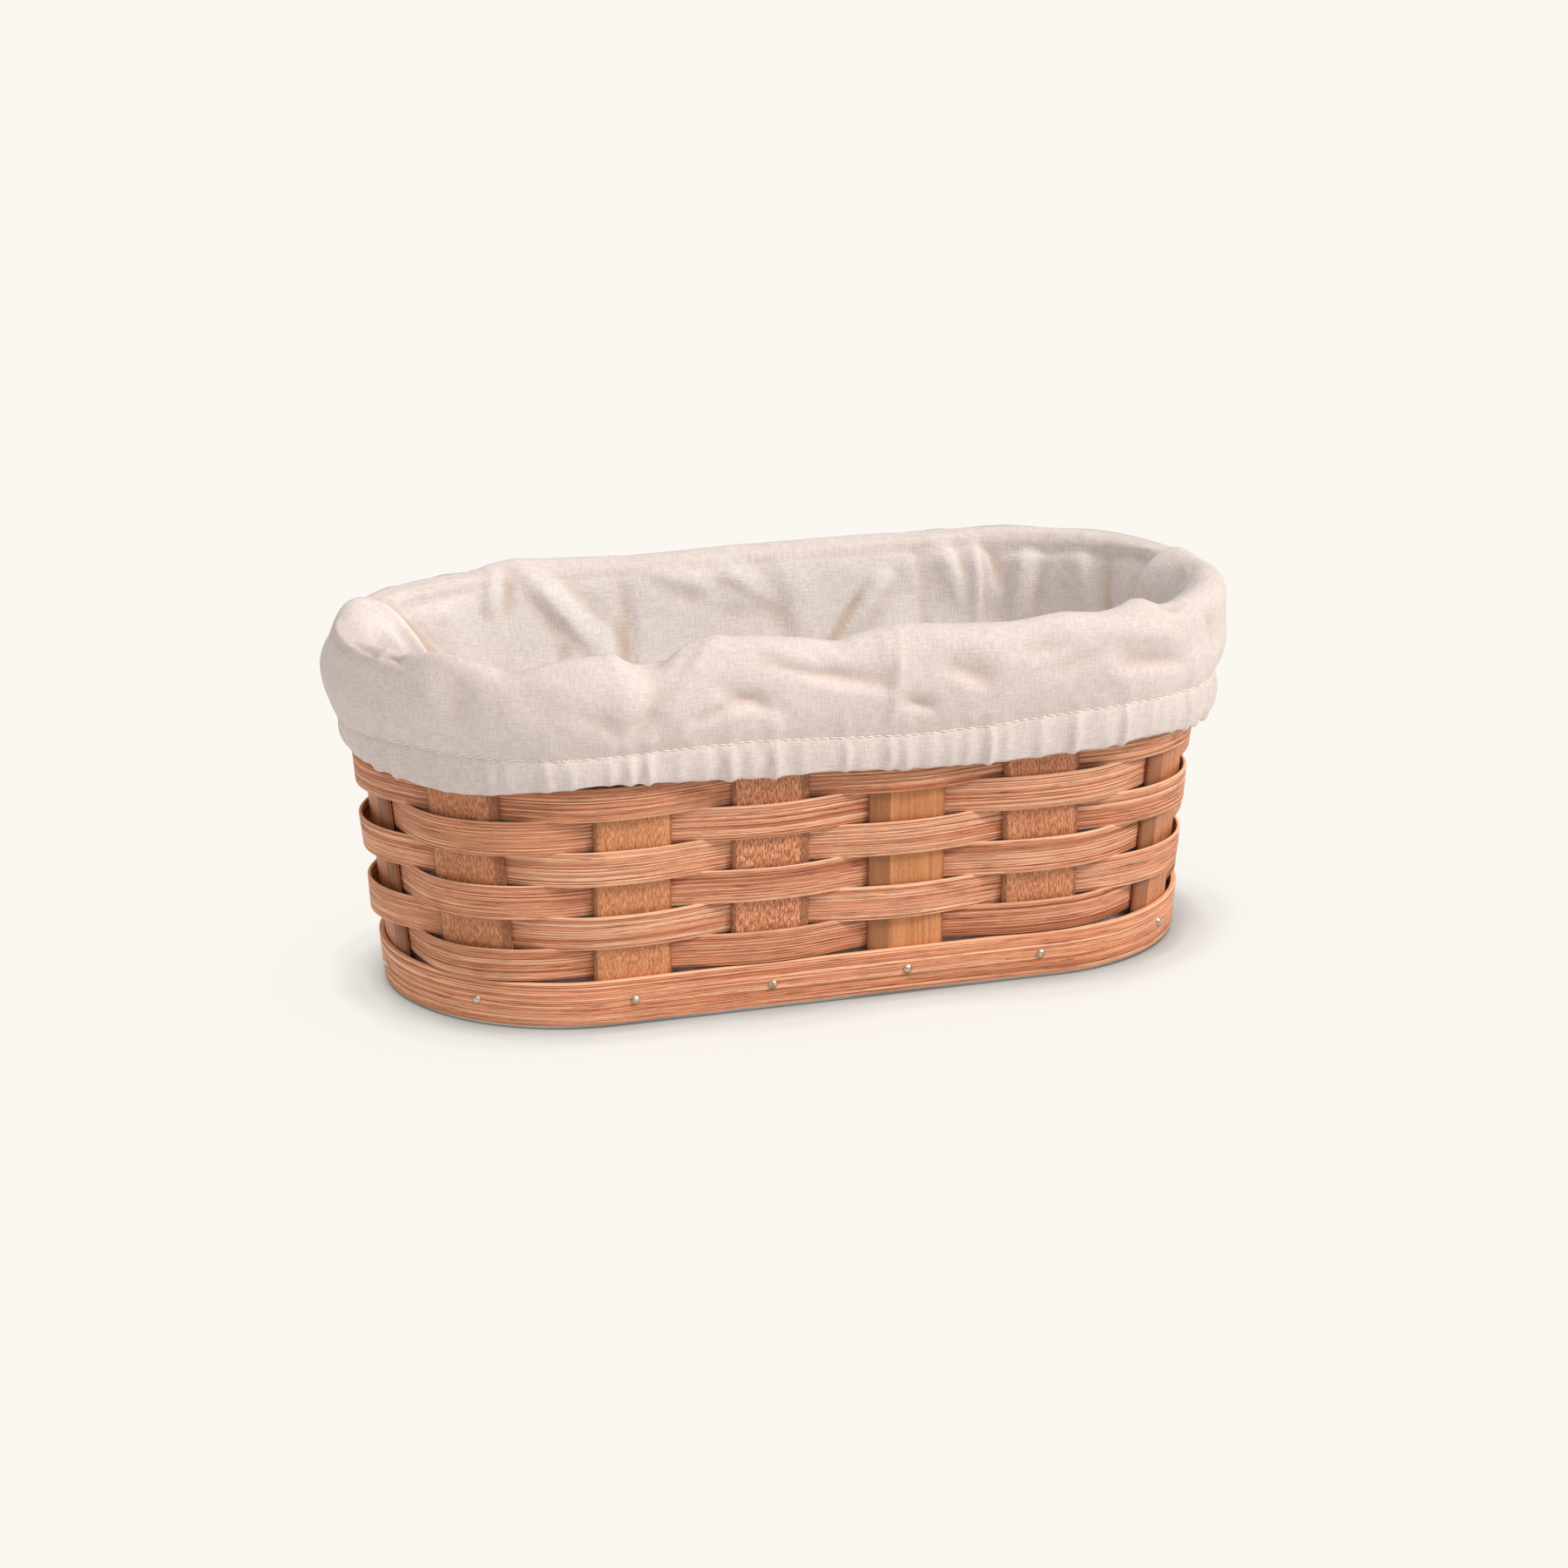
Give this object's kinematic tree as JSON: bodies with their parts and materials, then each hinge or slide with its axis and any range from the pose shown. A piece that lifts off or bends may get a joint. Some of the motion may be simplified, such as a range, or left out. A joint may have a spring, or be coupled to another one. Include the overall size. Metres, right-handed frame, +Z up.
{
  "type": "banneton basket",
  "caption": "Long oval splint-woven basket with flared walls, a tacked base band and a lift-out cloth liner folded over the rim as a cuff.",
  "frame": {"origin": "centre of the flat underside of the base board", "axes": "+X along the basket's length, +Y across it, +Z up out of the mouth"},
  "size_m": [0.2982, 0.1346, 0.1198],
  "materials": {
    "stave_splint": "stained wood splint, satin",
    "weaver_splint": "stained wood splint, satin, strong lengthwise grain",
    "band_splint": "stained wood splint, satin",
    "board_plywood": "stained board, satin",
    "tack_brass": "antique brass, dull",
    "liner_cotton": "unbleached plain-weave cotton",
    "elastic_tape": "woven elastic tape"
  },
  "bodies": {
    "basket": {"base_board": "board_plywood", "base_band": "band_splint", "base_tacks": "tack_brass", "stave_01": "stave_splint", "stave_02": "stave_splint", "stave_03": "stave_splint", "stave_04": "stave_splint", "stave_05": "stave_splint", "stave_06": "stave_splint", "stave_07": "stave_splint", "stave_08": "stave_splint", "stave_09": "stave_splint", "stave_10": "stave_splint", "stave_11": "stave_splint", "stave_12": "stave_splint", "stave_13": "stave_splint", "stave_14": "stave_splint", "weaver_1": "weaver_splint", "weaver_2": "weaver_splint", "weaver_3": "weaver_splint", "weaver_4": "weaver_splint", "weaver_5": "weaver_splint", "weaver_6": "weaver_splint", "weaver_7": "weaver_splint", "weaver_8": "weaver_splint", "rim_band_outer": "band_splint", "rim_band_inner": "band_splint", "rim_tacks": "tack_brass"},
    "liner": {"liner_floor": "liner_cotton", "liner_wall": "liner_cotton", "liner_cuff": "liner_cotton", "liner_hem": "liner_cotton", "hem_elastic": "elastic_tape"}
  },
  "joints": [
    {"name": "liner_lift", "type": "slide", "parent": "basket", "child": "liner", "axis": [0, 0, 1], "range_m": [0, 0.13]}
  ]
}
